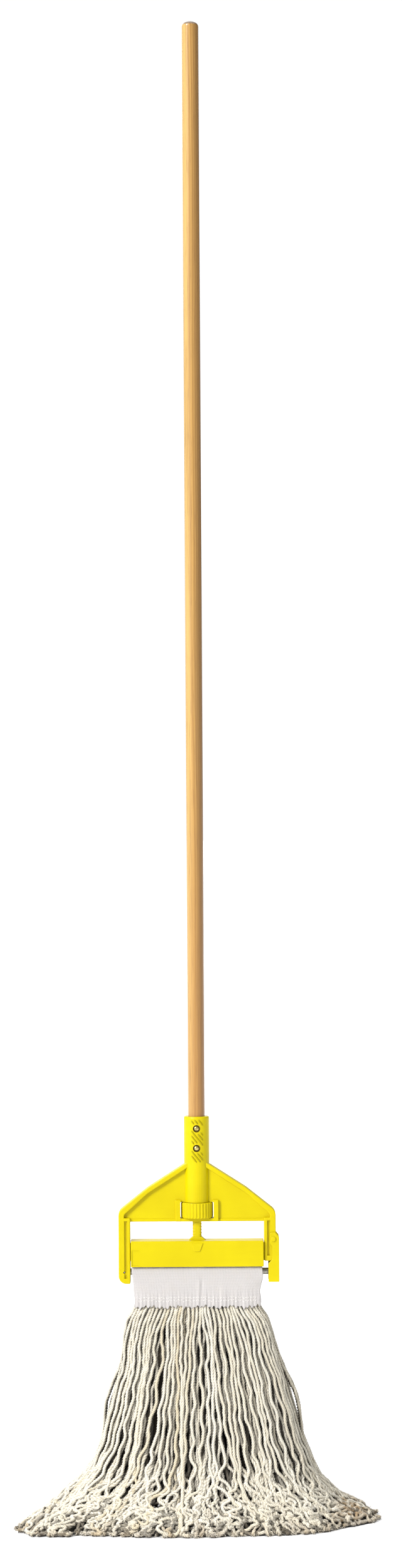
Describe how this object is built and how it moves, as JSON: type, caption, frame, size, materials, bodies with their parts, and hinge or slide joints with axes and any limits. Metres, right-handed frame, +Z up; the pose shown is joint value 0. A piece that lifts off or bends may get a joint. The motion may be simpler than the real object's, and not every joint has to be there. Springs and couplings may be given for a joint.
{
  "type": "string mop",
  "caption": "String mop: long wooden pole, moulded side-gate head with a thumbwheel screw clamp, mesh headband and twisted cotton yarn splayed on the floor.",
  "frame": {"origin": "on the floor under the middle of the mop, below the pole's axis", "axes": "+Z up along the pole; the front faces -Y; the gate is on the +X leg of the head"},
  "size_m": [0.496, 0.244, 1.986],
  "materials": {
    "wood": "clear gloss lacquer",
    "yellow_plastic": "semi-gloss moulded",
    "steel": "zinc plated",
    "band_mesh": "woven synthetic mesh",
    "cotton_yarn": "raw twisted cotton"
  },
  "bodies": {
    "root": {"handle_pole": "wood", "rivet_upper": "steel", "rivet_lower": "steel", "rivet_washer_upper": "steel", "rivet_washer_lower": "steel", "head_frame": "yellow_plastic", "crossbar": "steel", "crossbar_pin": "steel", "gate_hinge_pin": "steel", "gate_pin_washer": "steel", "headband": "band_mesh", "yarn_fold": "cotton_yarn", "yarn_front_left": "cotton_yarn", "yarn_front_centre": "cotton_yarn", "yarn_front_right": "cotton_yarn", "yarn_back_left": "cotton_yarn", "yarn_back_centre": "cotton_yarn", "yarn_back_right": "cotton_yarn"},
    "wheel": {"thumbwheel": "yellow_plastic"},
    "clamp": {"clamp_bar": "yellow_plastic"},
    "gate": {"gate_arm": "yellow_plastic"}
  },
  "joints": [
    {"name": "thumbwheel_spin", "type": "hinge", "parent": "root", "child": "wheel", "pos_m": [0, 0, 0.4126], "axis": [0, 0, -1], "range_deg": [0, 1800]},
    {"name": "clamp_slide", "type": "slide", "parent": "root", "child": "clamp", "axis": [0, 0, 1], "range_m": [0, 0.02]},
    {"name": "gate_swing", "type": "hinge", "parent": "root", "child": "gate", "pos_m": [0.1008, 0, 0.3745], "axis": [0, -1, 0], "range_deg": [0, 100]}
  ],
  "couplings": [
    {"joint": "clamp_slide", "follows": "thumbwheel_spin", "m_per_rad": 0.0006366}
  ]
}
